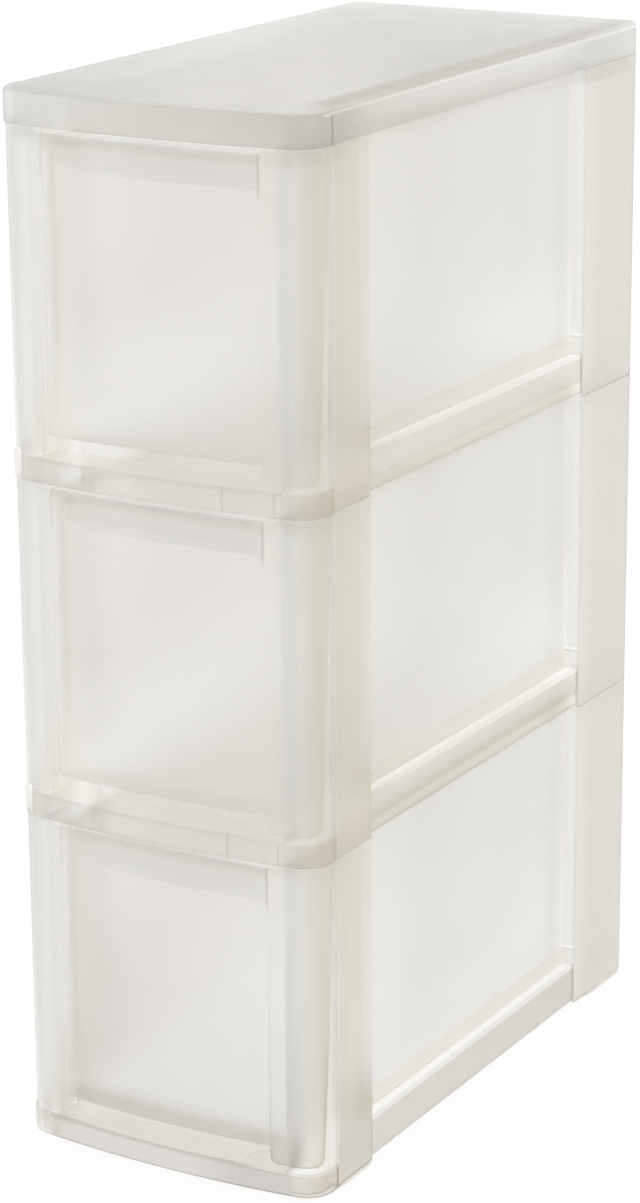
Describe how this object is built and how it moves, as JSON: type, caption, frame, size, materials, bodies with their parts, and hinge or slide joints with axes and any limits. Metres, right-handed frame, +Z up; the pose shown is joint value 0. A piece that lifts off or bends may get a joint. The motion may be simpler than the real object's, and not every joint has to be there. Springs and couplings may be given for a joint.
{
  "type": "plastic drawer tower",
  "caption": "Slim free-standing tower of stacked translucent plastic drawers between lipped trays, with recessed side panels and a flat top.",
  "frame": {"origin": "middle of the footprint, on the floor under the feet", "axes": "+Z up, the drawers open towards -Y, +X to the right of someone facing the fronts"},
  "size_m": [0.18, 0.36, 0.5555],
  "materials": {
    "tray_plastic": "milky translucent polypropylene, satin",
    "side_plastic": "milky translucent polypropylene, satin",
    "back_plastic": "milky translucent polypropylene, satin",
    "box_plastic": "milky translucent polypropylene, fine frosted texture",
    "front_plastic": "milky translucent polypropylene, satin"
  },
  "bodies": {
    "tower": {"top_board": "tray_plastic", "upper_tray": "tray_plastic", "middle_tray": "tray_plastic", "base_tray": "tray_plastic", "upper_right_side": "side_plastic", "middle_right_side": "side_plastic", "lower_right_side": "side_plastic", "upper_left_side": "side_plastic", "middle_left_side": "side_plastic", "lower_left_side": "side_plastic", "upper_back_panel": "back_plastic", "middle_back_panel": "back_plastic", "lower_back_panel": "back_plastic"},
    "upper_drawer": {"upper_drawer_box": "box_plastic", "upper_drawer_front": "front_plastic"},
    "middle_drawer": {"middle_drawer_box": "box_plastic", "middle_drawer_front": "front_plastic"},
    "lower_drawer": {"lower_drawer_box": "box_plastic", "lower_drawer_front": "front_plastic"}
  },
  "joints": [
    {"name": "upper_drawer_slide", "type": "slide", "parent": "tower", "child": "upper_drawer", "axis": [0, -1, 0], "range_m": [0, 0.22]},
    {"name": "middle_drawer_slide", "type": "slide", "parent": "tower", "child": "middle_drawer", "axis": [0, -1, 0], "range_m": [0, 0.22]},
    {"name": "lower_drawer_slide", "type": "slide", "parent": "tower", "child": "lower_drawer", "axis": [0, -1, 0], "range_m": [0, 0.22]}
  ]
}
